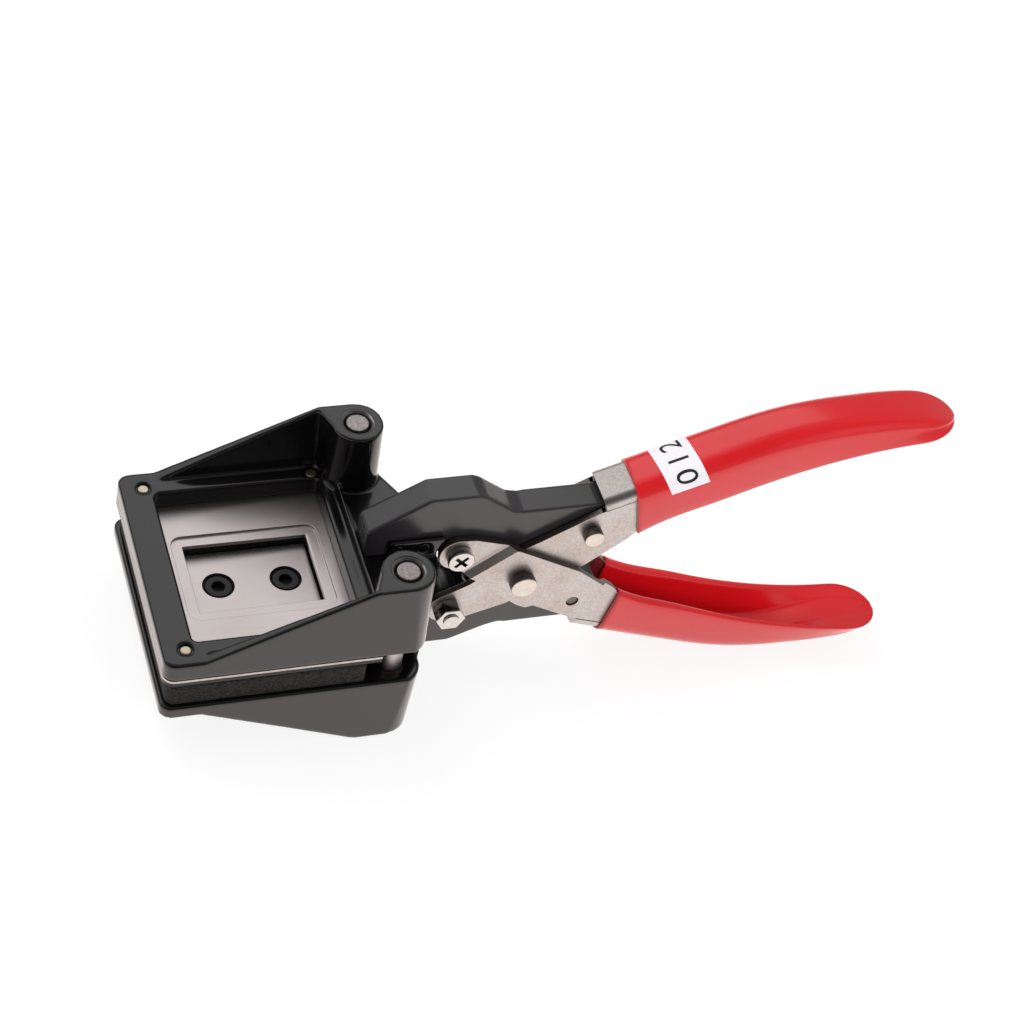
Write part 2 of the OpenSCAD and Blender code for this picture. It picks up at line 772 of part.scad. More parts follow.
// The vinyl skin of the upper handle: closed at its end, open where the sheet goes in
module grip() {
    n_out = 30;
    n_leg = 6;
    n_in = 3 * n_leg;
    stops = [grip_front, leg_taper_start, leg_end, steel_end + steel_room];
    inside = [for (k = [0:2], i = [(k == 0 ? 0 : 1):n_leg]) stops[k] + (stops[k + 1] - stops[k]) * i / n_leg];
    outer = [for (i = [0:n_out]) skin_ring(grip_front + (grip_end - grip_front) * sin(90 * i / n_out))];
    inner = [for (x = inside) pocket_ring(x)];
    n = len(outer[0]);
    first_in = n * (n_out + 1);
    last_in = first_in + n * n_in;
    at_pivot() polyhedron(
        points = [for (r = concat(outer, inner), p = r) p],
        faces = concat(
            [for (i = [0:n_out - 1], f = band(n * i, n * (i + 1), n)) f],
            [for (i = [0:n_in - 1], f = band(first_in + n * (i + 1), first_in + n * i, n)) f],
            band(first_in, 0, n),
            [[for (i = [0:n - 1]) n * n_out + i]],
            [[for (i = [n - 1:-1:0]) last_in + i]]
        )
    );
}

module upper_grip() {
    color("#c8161e") in_place() grip();
}

module lower_grip() {
    color("#c8161e") in_place() turned() grip();
}

module centre_rivet() {
    color("#dcd6cc") in_place() at_pivot() {
        rod(pivot_d, -raised_out - cut, raised_out + cut);
        for (s = [-1, 1]) rod(pivot_head_d,
            min(s * (raised_out + seat_gap), s * (raised_out + pivot_head_h)),
            max(s * (raised_out + seat_gap), s * (raised_out + pivot_head_h)));
    }
}

// A slide rivet of the upper handle: head in front, end set back in the far leg
module slide_rivet() {
    at_pivot() translate([rear_dx, 0, rear_dz]) {
        rod(slide_d, -leg_out - cut, leg_out - slide_recess);
        rod(slide_head_d, -leg_out - slide_head_h, -leg_out - seat_gap);
    }
}

module upper_slide_rivet() {
    color("#dcd6cc") in_place() slide_rivet();
}

module lower_slide_rivet() {
    color("#dcd6cc") in_place() turned() slide_rivet();
}

// A jaw bolt of the upper arm: cross-recess head in front
module jaw_bolt() {
    face = -leg_out - bolt_head_h;
    translate([pin_x, 0, pin_z]) difference() {
        union() {
            rod(bolt_head_d, face, -leg_out - seat_gap);
            rod(bolt_d, -leg_out - cut, leg_out + nut_h + bolt_tip);
        }
        for (a = [45, 135]) rotate([0, a, 0]) translate([-recess_span / 2, face - cut, -recess_w / 2])
            cube([recess_span, cut + recess_sink, recess_w]);
    }
}

// The nut on a jaw bolt
module jaw_nut() {
    translate([pin_x, 0, pin_z]) difference() {
        slab(leg_out + seat_gap, leg_out + nut_h) circle(d = nut_af / cos(30), $fn = 6);
        rod(bolt_d + 2 * pin_gap, leg_in, 2 * raised_out);
    }
}

module upper_jaw_bolt() {
    color("#d8d4cf") in_place() jaw_bolt();
}

module upper_jaw_nut() {
    color("#e2dfdb") in_place() jaw_nut();
}

module lower_jaw_bolt() {
    color("#d8d4cf") in_place() turned() jaw_bolt();
}

module lower_jaw_nut() {
    color("#e2dfdb") in_place() turned() jaw_nut();
}

// The return spring: one tube wound between the arms' inner edges
spring_sides = 6;
spring_rings = 8 * spring_turns;
spring_r = (spring_od - spring_wire) / 2;
spring_rise = 2 * (arm_clear - seat_gap) - spring_wire;
spring_x = -front_dx / 2;
spring_climb = atan(spring_rise / (360 * spring_turns) * 180 / PI / spring_r);

// Middle of the wire at ring i
function coil_point(i) =
    let (a = 360 * i / 8)
    [spring_r * cos(a), spring_r * sin(a), spring_rise * (i / spring_rings - 0.5)];

// The points round the wire at ring i
function coil_ring(i) =
    let (
        a = 360 * i / 8,
        away = [cos(a), sin(a), 0],
        up = [sin(a) * sin(spring_climb), -cos(a) * sin(spring_climb), cos(spring_climb)]
    )
    [for (k = [0:spring_sides - 1]) let (b = 360 * k / spring_sides)
        coil_point(i) + spring_wire / 2 * (cos(b) * away + sin(b) * up)];

spring_gap = min([for (i = [0:spring_rings], j = [i + 5:1:spring_rings])
    norm(coil_point(i) - coil_point(j))]) - spring_wire;
echo(least_gap_between_spring_coils = spring_gap);

module return_spring() {
    rings = [for (i = [0:spring_rings]) coil_ring(i)];
    n = spring_sides;
    last = n * spring_rings;
    color("#8f8b86") in_place() at_pivot() translate([spring_x, 0, 0]) polyhedron(
        points = [for (r = rings, p = r) p],
        faces = concat(
            [for (i = [0:spring_rings - 1], f = band(n * i, n * (i + 1), n)) f],
            [for (k = [1:n - 2]) [0, k + 1, k]],
            [for (k = [1:n - 2]) [last, last + k, last + k + 1]]
        )
    );
}

upper_frame();
lower_frame();
upper_arm();
lower_arm();
upper_arm_pins();
lower_arm_pins();
die_plate();
die_screws();
punch_block();
punch_screws();
stripper_pad();
guide_posts();
upper_handle_plate();
lower_handle_plate();
upper_grip();
lower_grip();
centre_rivet();
upper_slide_rivet();
lower_slide_rivet();
upper_jaw_bolt();
upper_jaw_nut();
lower_jaw_bolt();
lower_jaw_nut();
return_spring();
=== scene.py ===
import math

import bpy
from mathutils import Euler, Matrix, Vector


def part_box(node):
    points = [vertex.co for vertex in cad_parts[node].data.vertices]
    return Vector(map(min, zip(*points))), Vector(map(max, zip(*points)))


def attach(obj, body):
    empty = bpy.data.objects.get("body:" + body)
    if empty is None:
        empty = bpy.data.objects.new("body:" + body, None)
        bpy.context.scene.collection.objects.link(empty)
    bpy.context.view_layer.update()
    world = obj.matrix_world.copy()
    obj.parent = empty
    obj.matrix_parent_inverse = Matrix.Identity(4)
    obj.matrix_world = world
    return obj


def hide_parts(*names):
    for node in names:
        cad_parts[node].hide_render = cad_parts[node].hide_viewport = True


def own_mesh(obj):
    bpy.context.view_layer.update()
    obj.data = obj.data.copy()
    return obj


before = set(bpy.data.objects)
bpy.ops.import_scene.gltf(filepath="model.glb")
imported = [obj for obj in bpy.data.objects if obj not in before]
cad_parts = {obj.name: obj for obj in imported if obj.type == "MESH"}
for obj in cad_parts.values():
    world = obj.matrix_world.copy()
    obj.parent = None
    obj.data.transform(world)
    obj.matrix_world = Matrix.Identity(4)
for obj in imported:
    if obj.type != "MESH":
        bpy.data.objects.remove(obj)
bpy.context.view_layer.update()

MM = 0.001


def corners(node):
    """Lowest and highest corners of a solid, in millimetres."""
    return [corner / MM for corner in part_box(node)]


# Places and sizes of the cutter's main points, in millimetres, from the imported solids
post_low, post_high = corners("guide_posts")
rivet_low, rivet_high = corners("centre_rivet")
coil_low, coil_high = corners("return_spring")
die_low, die_high = corners("die_plate")
screw_low, screw_high = corners("die_screws")
PIVOT = (rivet_low + rivet_high) / 2
POST_X = (post_low.x + post_high.x) / 2
POST_Y = post_high.y - (post_high.x - post_low.x) / 2


# Picking, copying and shaping

# Points of a solid's triangles that lie closer than this are one, in millimetres
MERGE = 0.002
FLAT_WITHIN = math.radians(0.6)
SHARP_OVER = math.radians(30)


def pick_nothing():
    if bpy.context.object and bpy.context.object.mode != "OBJECT":
        bpy.ops.object.mode_set(mode="OBJECT")
    bpy.ops.object.select_all(action="DESELECT")


def pick(piece):
    pick_nothing()
    piece.select_set(True)
    bpy.context.view_layer.objects.active = piece


def edit_all(piece):
    """Edit mode, with the whole piece selected."""
    pick(piece)
    bpy.ops.object.mode_set(mode="EDIT")
    bpy.ops.mesh.select_all(action="SELECT")


def copy_solid(node, name, whole=True):
    """A copy of a solid with its triangles joined and, unless told not to, its flat faces made whole."""
    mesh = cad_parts[node].data.copy()
    mesh.materials.clear()
    piece = bpy.data.objects.new(name, mesh)
    bpy.context.scene.collection.objects.link(piece)
    edit_all(piece)
    bpy.ops.mesh.customdata_custom_splitnormals_clear()
    bpy.ops.mesh.remove_doubles(threshold=MERGE * MM)
    if whole:
        bpy.ops.mesh.dissolve_limited(angle_limit=FLAT_WITHIN, delimit=set())
    bpy.ops.object.mode_set(mode="OBJECT")
    return piece


def apply(piece, kind, **settings):
    pick(piece)
    modifier = piece.modifiers.new(kind.lower(), kind)
    for key, value in settings.items():
        setattr(modifier, key, value)
    bpy.ops.object.modifier_apply(modifier=modifier.name)


def round_edges(piece, width, segments=3, share=lambda start, end: 1.0):
    """Rounds the sharp edges, as casting, tumbling or wear does, by a share that may differ by edge."""
    pick(piece)
    bpy.ops.object.mode_set(mode="EDIT")
    bpy.ops.mesh.select_mode(type="EDGE")
    bpy.ops.mesh.select_all(action="DESELECT")
    bpy.ops.mesh.edges_select_sharp(sharpness=SHARP_OVER)
    bpy.ops.object.mode_set(mode="OBJECT")
    mesh = piece.data
    weights = mesh.attributes.new("bevel_weight_edge", "FLOAT", "EDGE")
    for line in mesh.edges:
        if line.select:
            start, end = (mesh.vertices[i].co / MM for i in line.vertices)
            weights.data[line.index].value = share(start, end)
    apply(piece, "BEVEL", width=width * MM, segments=segments, limit_method="WEIGHT",
          use_clamp_overlap=False, miter_outer="MITER_ARC")


def smooth(piece, angle=40):
    """Smooth shading over the rounded edges, with the flats kept flat."""
    pick(piece)
    bpy.ops.object.shade_smooth_by_angle(angle=math.radians(angle))
    apply(piece, "WEIGHTED_NORMAL", mode="FACE_AREA", weight=50, keep_sharp=True)


def smooth_all_over(piece):
    pick(piece)
    bpy.ops.object.shade_smooth()


def paint_faces(piece, material, test):
    """Gives a second finish to the faces that pass a test on their middle, in millimetres, and normal."""
    piece.data.materials.append(material)
    slot = len(piece.data.materials) - 1
    for face in piece.data.polygons:
        if test(face.center / MM, face.normal):
            face.material_index = slot


def seat(piece, body, slot, *nodes):
    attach(piece, body)
    if nodes:
        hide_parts(*nodes)


# Building finishes

def linear(code):
    """sRGB hex to linear colour."""
    shares = [int(code[i:i + 2], 16) / 255 for i in (1, 3, 5)]
    return [c / 12.92 if c <= 0.04045 else ((c + 0.055) / 1.055) ** 2.4 for c in shares] + [1.0]


def add(tree, kind, settings=(), links=()):
    """Adds a node, sets its sockets or properties, and links its inputs."""
    node = tree.nodes.new(kind)
    for key, value in dict(settings).items():
        if isinstance(key, int) or key in node.inputs:
            node.inputs[key].default_value = value
        else:
            setattr(node, key, value)
    for key, source in dict(links).items():
        tree.links.new(source, node.inputs[key])
    return node


def new_finish(name, **sockets):
    """A material with its shader's even values set, and the object's own coordinates."""
    material = bpy.data.materials.new(name)
    material.use_nodes = True
    tree = material.node_tree
    shader = tree.nodes["Principled BSDF"]
    for key, value in sockets.items():
        shader.inputs[key.replace("_", " ")].default_value = value
    place = add(tree, "ShaderNodeTexCoord").outputs["Object"]
    return material, tree, shader, place


def wire(tree, shader, **sources):
    """Links what varies over the surface to the shader."""
    for key, source in sources.items():
        tree.links.new(source, shader.inputs[key.replace("_", " ")])


def per_metre(size):
    """Pattern scale for features of a size in millimetres."""
    return 1 / (size * MM)


def noise(tree, place, size, detail, **more):
    """Clouds of a size in millimetres."""
    settings = {"Scale": per_metre(size), "Detail": detail, **more}
    return add(tree, "ShaderNodeTexNoise", settings, {"Vector": place}).outputs["Fac"]


def cells(tree, place, size):
    """Rounded cells of a size in millimetres."""
    settings = {"Scale": per_metre(size)}
    return add(tree, "ShaderNodeTexVoronoi", settings, {"Vector": place}).outputs["Distance"]


def two_tones(tree, first, second, share):
    """A colour between two sRGB ones."""
    settings = {"data_type": "RGBA", 6: linear(first), 7: linear(second)}
    return add(tree, "ShaderNodeMix", settings, {0: share}).outputs[2]


def spread(tree, value, low, high, start=0.0, stop=1.0):
    """A value's range from start to stop, spread from low to high."""
    settings = {"From Min": start, "From Max": stop, "To Min": low, "To Max": high}
    return add(tree, "ShaderNodeMapRange", settings, {"Value": value}).outputs[0]


def relief(tree, height, strength, depth, **below):
    """Bumps of a depth in millimetres, over the normal below them where one is given."""
    settings = {"Strength": strength, "Distance": depth * MM}
    return add(tree, "ShaderNodeBump", settings, {"Height": height, **below}).outputs[0]


def reckon(tree, operation, source, second=None):
    """A sum on a socket, and on a plain number or another socket."""
    node = add(tree, "ShaderNodeMath", {"operation": operation}, {0: source})
    if isinstance(second, float):
        node.inputs[1].default_value = second
    elif second is not None:
        tree.links.new(second, node.inputs[1])
    return node.outputs[0]


def clouded(name, size, detail, first, second, rough=None, **sockets):
    """A finish whose tone, and roughness where it is given as a range, drift together in clouds."""
    material, tree, shader, place = new_finish(name, **sockets)
    cloud = noise(tree, place, size, detail)
    wire(tree, shader, Base_Color=two_tones(tree, first, second, cloud))
    if rough:
        wire(tree, shader, Roughness=spread(tree, cloud, *rough))
    return material


# Finishes

# The bare ring round a post's end and where the boss ends begin, from the tool's middle, in millimetres
RING_R = 4.0
RING_FADE = (0.32, 0.2)
BOSS_ENDS = 20.0
BARE_METAL = "#857E7E"
# How much rougher the enamel gets where it waves
ENAMEL_DULL = 0.12


def stoved_enamel(name, dark, pale, shine):
    # Black stoving enamel sprayed on a casting: a deep gloss film with a slight orange peel
    # of about 1.5 mm and soft waves where the metal below was fettled. The boss ends are
    # rubbed after painting, which leaves a thin ring of bare metal round each post.
    material, tree, shader, place = new_finish(name, IOR=1.55)
    wave = noise(tree, place, 14, 2.0)
    peel = noise(tree, place, 1.5, 1.0)
    tone = two_tones(tree, dark, pale, wave)
    axes = add(tree, "ShaderNodeSeparateXYZ", links={0: place})
    side = reckon(tree, "ABSOLUTE", axes.outputs["Y"])
    flat = add(tree, "ShaderNodeCombineXYZ", links={"X": axes.outputs["X"], "Y": side})
    post = (POST_X * MM, POST_Y * MM, 0.0)
    reach = add(tree, "ShaderNodeVectorMath", {"operation": "DISTANCE", 1: post}, {0: flat.outputs[0]})
    off = reckon(tree, "ABSOLUTE", reckon(tree, "SUBTRACT", reach.outputs["Value"], RING_R * MM))
    ring = spread(tree, off, 0.0, 1.0, *(r * MM for r in RING_FADE))
    rise = reckon(tree, "ABSOLUTE", reckon(tree, "SUBTRACT", axes.outputs["Z"], PIVOT.z * MM))
    ends = reckon(tree, "GREATER_THAN", rise, BOSS_ENDS * MM)
    bare = reckon(tree, "MULTIPLY", ring, ends)
    metal = add(tree, "ShaderNodeMix", {"data_type": "RGBA", 7: linear(BARE_METAL)}, {0: bare, 6: tone})
    wire(tree, shader, Base_Color=metal.outputs[2], Metallic=bare,
         Roughness=spread(tree, wave, shine, shine + ENAMEL_DULL), Normal=relief(tree, peel, 0.10, 0.02))
    return material


def stamped_steel():
    # Cold-rolled sheet, blanked and tumbled: a warm satin grey with faint tan mottling
    # and short rolling lines along the sheet.
    material, tree, shader, place = new_finish("stamped_sheet_steel", Metallic=1.0)
    roll_way = {"Scale": (0.16, 1.0, 1.0), "Rotation": (0.0, math.radians(20), 0.0)}
    turned = add(tree, "ShaderNodeMapping", roll_way, {"Vector": place})
    rolled = noise(tree, turned.outputs[0], 0.45, 3.0)
    mottle = spread(tree, noise(tree, place, 9, 4.0, Roughness=0.6), 0.0, 1.0, 0.38, 0.68)
    speck = spread(tree, noise(tree, place, 0.6, 4.0), 0.84, 1.12, 0.3, 0.7)
    tone = add(tree, "ShaderNodeVectorMath", {"operation": "SCALE"},
               {0: two_tones(tree, "#BBB7B4", "#B3AAA2", mottle), "Scale": speck})
    wire(tree, shader, Base_Color=tone.outputs[0], Roughness=spread(tree, rolled, 0.30, 0.46),
         Normal=relief(tree, rolled, 0.12, 0.02))
    return material


def ground_steel():
    # Tool steel, surface ground along the plate: smooth satin, with faint parallel marks. The real marks
    # are about 0.05 mm apart; they are drawn at 0.3 mm so that they show.
    material, tree, shader, place = new_finish("ground_tool_steel", Metallic=1.0)
    stretch = add(tree, "ShaderNodeMapping", {"Scale": (0.03, 1.0, 1.0)}, {"Vector": place})
    marks = noise(tree, stretch.outputs[0], 0.3, 2.0)
    cloud = noise(tree, place, 16, 2.0)
    wire(tree, shader, Base_Color=two_tones(tree, "#BEB5B3", "#CCC4C2", cloud),
         Roughness=spread(tree, marks, 0.34, 0.42), Normal=relief(tree, marks, 0.03, 0.01))
    return material


def sawn_steel():
    # A bar end, sawn and left: dull mottled grey with scratches of about 0.4 mm.
    material, tree, shader, place = new_finish("sawn_steel_end", Metallic=1.0)
    blot = noise(tree, place, 0.9, 5.0, Roughness=0.7)
    scratch = noise(tree, place, 0.4, 3.0)
    wire(tree, shader,
         Base_Color=two_tones(tree, "#8C8483", "#BEB6B4", spread(tree, blot, 0.0, 1.0, 0.35, 0.65)),
         Roughness=spread(tree, blot, 0.42, 0.58), Normal=relief(tree, scratch, 0.35, 0.05))
    return material


def peened_rivet():
    # Soft rivet steel, peened over: pale, with flats of about 1.6 mm from the tool.
    material, tree, shader, place = new_finish("peened_rivet_steel", Metallic=1.0)
    cloud = noise(tree, place, 1.5, 3.0)
    wire(tree, shader, Base_Color=two_tones(tree, "#B6AFA4", "#E0D9CE", cloud),
         Roughness=spread(tree, cloud, 0.24, 0.42), Normal=relief(tree, cells(tree, place, 1.6), 0.45, 0.06))
    return material


def dipped_vinyl():
    # PVC plastisol, dipped and fused: saturated red with a soft gloss, long shallow waves where it ran
    # and a fine skin texture. A little light goes in and comes out redder.
    material, tree, shader, place = new_finish(
        "dipped_red_vinyl", IOR=1.53, Coat_Weight=0.25, Coat_Roughness=0.12, Subsurface_Weight=0.06,
        Subsurface_Radius=(1.2 * MM, 0.25 * MM, 0.2 * MM), Subsurface_Scale=1.0)
    runs = noise(tree, place, 11, 2.0)
    skin = noise(tree, place, 0.9, 2.0)
    swell = relief(tree, runs, 0.25, 0.12)
    wire(tree, shader, Base_Color=two_tones(tree, "#C60D17", "#CE141C", runs),
         Roughness=spread(tree, runs, 0.20, 0.28), Normal=relief(tree, skin, 0.05, 0.03, Normal=swell))
    return material


def cell_foam():
    # Closed-cell rubber foam cut from sheet: matt black-brown, with open cells of about 0.7 mm
    # on the cut faces and paler crumbs between them.
    material, tree, shader, place = new_finish("closed_cell_foam", Roughness=0.92)
    crumb = spread(tree, noise(tree, place, 0.5, 5.0), 0.0, 1.0, 0.38, 0.78)
    wire(tree, shader, Base_Color=two_tones(tree, "#040303", "#322C27", crumb),
         Normal=relief(tree, cells(tree, place, 0.7), 0.7, 0.25))
    return material


enamel = stoved_enamel("stoved_black_enamel", "#070707", "#0E0C0F", 0.10)
# The arms' enamel is rougher than the castings' and has a paler base; the paler base is painted sheen for
# the arms' brighter reflections
satin = stoved_enamel("satin_black_enamel_with_painted_sheen", "#222022", "#2E2B2E", 0.18)
sheet = stamped_steel()
# The blanked edge of the sheet: torn and oiled, so much darker than the faces. The same dark finish also
# serves as painted shade on the rivets' sides and in the screws' recesses
edge = clouded("sheared_edge_and_painted_shade", 0.6, 3.0, "#55504C", "#8A837C", (0.4, 0.6), Metallic=1.0)
ground = ground_steel()
# Bright zinc plate on a rolled screw: sharp white reflections with a little haze
zinc = clouded("bright_zinc_plate", 1.2, 3.0, "#BAB8B4", "#D6D4D0", (0.08, 0.24), Metallic=1.0)
sawn = sawn_steel()
# Yellow zinc passivate on the small screws: a thin dull brassy film over steel
brassy = clouded("yellow_passivated_zinc", 1.0, 3.0, "#A79C84", "#DACFB8", (0.30, 0.45), Metallic=1.0)
rivet = peened_rivet()
# Blackened alloy steel with a film of oil: dark grey with a tight satin sheen
oxide = clouded("black_oxide_steel", 1.4, 3.0, "#1A1A1C", "#2E2D2F", (0.25, 0.42), Metallic=0.7)
vinyl = dipped_vinyl()
foam = cell_foam()
# Coated white paper: smooth, slightly cool, with a faint fibre tone
paper = clouded("coated_label_paper", 0.8, 4.0, "#E4E1E6", "#EEECEF", Roughness=0.5)
# Thermal print on the label: matt black with slightly broken dots of about 0.3 mm
ink = clouded("thermal_print", 0.3, 2.0, "#0E0D10", "#242228", Roughness=0.6)


# Castings and arms: enamelled, with the round edges of a sand casting

CAST_ROUND = 0.6
CASTING_GRAIN, CASTING_PASSES = 0.45, 6
ARM_GRAIN, ARM_PASSES = 0.4, 7
# A long edge, in millimetres, and the share of it along one axis under which it runs askew
LONG_EDGE = 3.0
ASKEW_UNDER = 0.995
SCREW_HEAD_R = 2.8
TIP_BORE_R = 1.9
TIP_BORE_DEPTH = 0.9


def slanted(start, end):
    """One for a long edge that runs askew, which is rounded first so that the skin over it stays even."""
    run = end - start
    return float(run.length > LONG_EDGE and max(abs(c) for c in run) < ASKEW_UNDER * run.length)


def cast_skin(piece, grain, passes):
    """Rounds outer and inner corners alike, as sand casting and thick enamel do."""
    round_edges(piece, CAST_ROUND, share=slanted)
    apply(piece, "REMESH", mode="VOXEL", voxel_size=grain * MM)
    apply(piece, "SMOOTH", factor=0.5, iterations=passes)
    smooth_all_over(piece)


def drill_screw_bores(casting):
    """Opens the four bores in which the tips of the die screws end."""
    height = screw_high.z + 1.5 * TIP_BORE_DEPTH
    drills = []
    for x in (screw_low.x + SCREW_HEAD_R, screw_high.x - SCREW_HEAD_R):
        for y in (screw_low.y + SCREW_HEAD_R, screw_high.y - SCREW_HEAD_R):
            pick_nothing()
            bpy.ops.mesh.primitive_cylinder_add(vertices=40, radius=TIP_BORE_R * MM,
                                                depth=4 * TIP_BORE_DEPTH * MM,
                                                location=(x * MM, y * MM, height * MM))
            drills.append(bpy.context.object)
    pick_nothing()
    for drill in drills:
        drill.select_set(True)
    bpy.context.view_layer.objects.active = drills[0]
    bpy.ops.object.join()
    cutter = bpy.context.object
    cutter.data.materials.append(enamel)
    apply(casting, "BOOLEAN", operation="DIFFERENCE", object=cutter, solver="MANIFOLD")
    bpy.data.objects.remove(cutter)


castings = {}
for part in ("upper", "lower"):
    body = part + "_head"
    casting = copy_solid(part + "_frame", part + "_casting")
    cast_skin(casting, CASTING_GRAIN, CASTING_PASSES)
    casting.data.materials.append(enamel)
    if part == "upper":
        drill_screw_bores(casting)
    seat(casting, body, "enamel", part + "_frame")
    castings[part] = casting

    arm = copy_solid(part + "_arm", part + "_jaw_arm")
    cast_skin(arm, ARM_GRAIN, ARM_PASSES)
    arm.data.materials.append(satin)
    seat(arm, body, "enamel", part + "_arm")


# Die, punch and posts: ground steel with broken edges

# The die's sides are blackened, but for a bare line under the casting, in millimetres
BARE_LINE = 0.7
SIDE_MARGIN = 3.2
REAR_MARGIN = 1.0
UPRIGHT_UNDER = 0.7
# A post's sawn end: how far down it goes, and how much its faces look up
SAWN_DEPTH = 1.0
SAWN_OVER = 0.3
bright_line = die_high.z - BARE_LINE


def on_side(p, n):
    """Whether a face of the die lies on its outer sides."""
    return abs(n.z) < UPRIGHT_UNDER and (abs(p.y) > die_high.y - SIDE_MARGIN or p.x < die_low.x + SIDE_MARGIN
                                         or p.x > die_high.x - REAR_MARGIN)


for node, name, body, width in (
    ("die_plate", "die", "upper_head", 0.2), ("punch_block", "punch", "lower_head", 0.1),
    ("guide_posts", "posts", "lower_head", 0.5),
):
    piece = copy_solid(node, name)
    if name == "die":
        edit_all(piece)
        bpy.ops.mesh.bisect(plane_co=(0, 0, bright_line * MM), plane_no=(0, 0, 1))
        bpy.ops.object.mode_set(mode="OBJECT")
    round_edges(piece, width, 2)
    smooth(piece)
    piece.data.materials.append(ground)
    if name == "die":
        paint_faces(piece, oxide, lambda p, n: on_side(p, n) and p.z < bright_line)
        paint_faces(piece, sheet, lambda p, n: on_side(p, n) and p.z >= bright_line)
    if name == "posts":
        paint_faces(piece, sawn, lambda p, n: abs(n.z) > SAWN_OVER and p.z > post_high.z - SAWN_DEPTH)
    seat(piece, body, "ground_steel", node)


# Handle sheets: satin faces, dark blanked edges

SHEET_ROUND = 0.16
# Where the blanked edges of the legs lie, from the centre rivet, in millimetres
EDGES_ALONG = 40
EDGES_UP = 20
LEG_INSIDE, LEG_OUTSIDE = 5.0, 8.2
EDGE_UNDER = 0.25


def on_blanked_edge(p, n):
    return (abs(n.y) < EDGE_UNDER and LEG_INSIDE < abs(p.y) < LEG_OUTSIDE
            and abs(p.x - PIVOT.x) < EDGES_ALONG and abs(p.z - PIVOT.z) < EDGES_UP)


for part in ("upper", "lower"):
    blank = copy_solid(part + "_handle_plate", part + "_handle_sheet")
    round_edges(blank, SHEET_ROUND, 2)
    smooth(blank)
    blank.data.materials.append(sheet)
    paint_faces(blank, edge, on_blanked_edge)
    seat(blank, part + "_handle", "sheet_steel", part + "_handle_plate")


# Rivets, screws and nuts

# A slide rivet's plain end is set back in the solid. Here it stands almost flush, where light reaches it.
SET_BACK = (5.0, 5.3)
OUTWARD = 0.8
# A rivet's sides, and what lies between the sheets, take the dark edge finish as painted shade
RIVET_SIDE_UNDER = 0.45
SHEETS_INSIDE = 6.2
# A screw's recess: where its crisp edges lie, how much they are rounded, and how far the painted shade on
# its dark faces goes
RECESS_REACH = 3.0
RECESS_SHARE = 0.15
RECESS_R = 2.6
RECESS_DEPTH = 1.6
RECESS_FLOOR = 0.6
RECESS_WALL_UNDER = 0.7

for node, body, finish, slot, width in (
    ("centre_rivet", "upper_handle", rivet, "rivet_steel", 0.45),
    ("upper_slide_rivet", "upper_handle", rivet, "rivet_steel", 0.4),
    ("lower_slide_rivet", "lower_handle", rivet, "rivet_steel", 0.4),
    ("upper_jaw_bolt", "upper_head", zinc, "plated_steel", 0.35),
    ("lower_jaw_bolt", "lower_head", zinc, "plated_steel", 0.35),
    ("upper_jaw_nut", "upper_head", zinc, "plated_steel", 0.3),
    ("lower_jaw_nut", "lower_head", zinc, "plated_steel", 0.3),
    ("die_screws", "upper_head", brassy, "plated_steel", 0.5),
    ("punch_screws", "lower_head", oxide, "black_oxide", 0.3),
    ("upper_arm_pins", "upper_head", enamel, "black_oxide", 0.2),
    ("lower_arm_pins", "lower_head", enamel, "black_oxide", 0.2),
):
    piece = copy_solid(node, node + "_turned")
    if "slide" in node:
        for vertex in piece.data.vertices:
            if SET_BACK[0] * MM < abs(vertex.co.y) < SET_BACK[1] * MM:
                vertex.co.y += math.copysign(OUTWARD * MM, vertex.co.y)
    low, high = corners(node)
    middle = (low + high) / 2

    def rim(start, end):
        """Full on the outer rims, little in a screw's recess."""
        return 1.0 if (start - middle).xz.length > RECESS_REACH or "bolt" not in node else RECESS_SHARE

    def in_recess(p, n):
        return ((p - middle).xz.length < RECESS_R and p.y < low.y + RECESS_DEPTH
                and (abs(n.y) < RECESS_WALL_UNDER or p.y > low.y + RECESS_FLOOR))

    round_edges(piece, width, share=rim)
    smooth(piece)
    piece.data.materials.append(finish)
    if finish is rivet:
        # Painted shade: the rivet's sides and what lies between the sheets get the dark edge finish
        paint_faces(piece, edge, lambda p, n: abs(n.y) < RIVET_SIDE_UNDER or abs(p.y) < SHEETS_INSIDE)
    if "bolt" in node:
        # Painted shade: the recess's walls and deeper faces get the dark edge finish
        paint_faces(piece, edge, in_recess)
    seat(piece, body, slot, node)


# Grips: the skin's rings made smooth

# The dip line at the front of a grip, in millimetres, and how crisp it stays
DIP_LINE = 6
DIP_FACING = -0.7
DIP_CREASE = 0.8
# The trough: the slices in which its width is found, and the rim and the ends that are left alone
TROUGH_SLICE = 2
TROUGH_RIM = 1.3
TROUGH_FRONT, TROUGH_END = 5, 1.5
TROUGH_PASSES = 25
# How far off the skin a line of sight starts, and how much a face may look away from the open side
SIGHT_GAP = 0.15
LOOK_AWAY = -0.1


def keep_front_edge(skin):
    """The dip line stays crisp where the skin meets the sheet."""
    mesh = skin.data
    front = min(v.co.x for v in mesh.vertices)
    lines = {frozenset(line.vertices): line.index for line in mesh.edges}
    crease = mesh.attributes.new("crease_edge", "FLOAT", "EDGE")
    for face in mesh.polygons:
        if face.normal.x < DIP_FACING and face.center.x < front + DIP_LINE * MM:
            for pair in face.edge_keys:
                crease.data[lines[frozenset(pair)]].value = DIP_CREASE


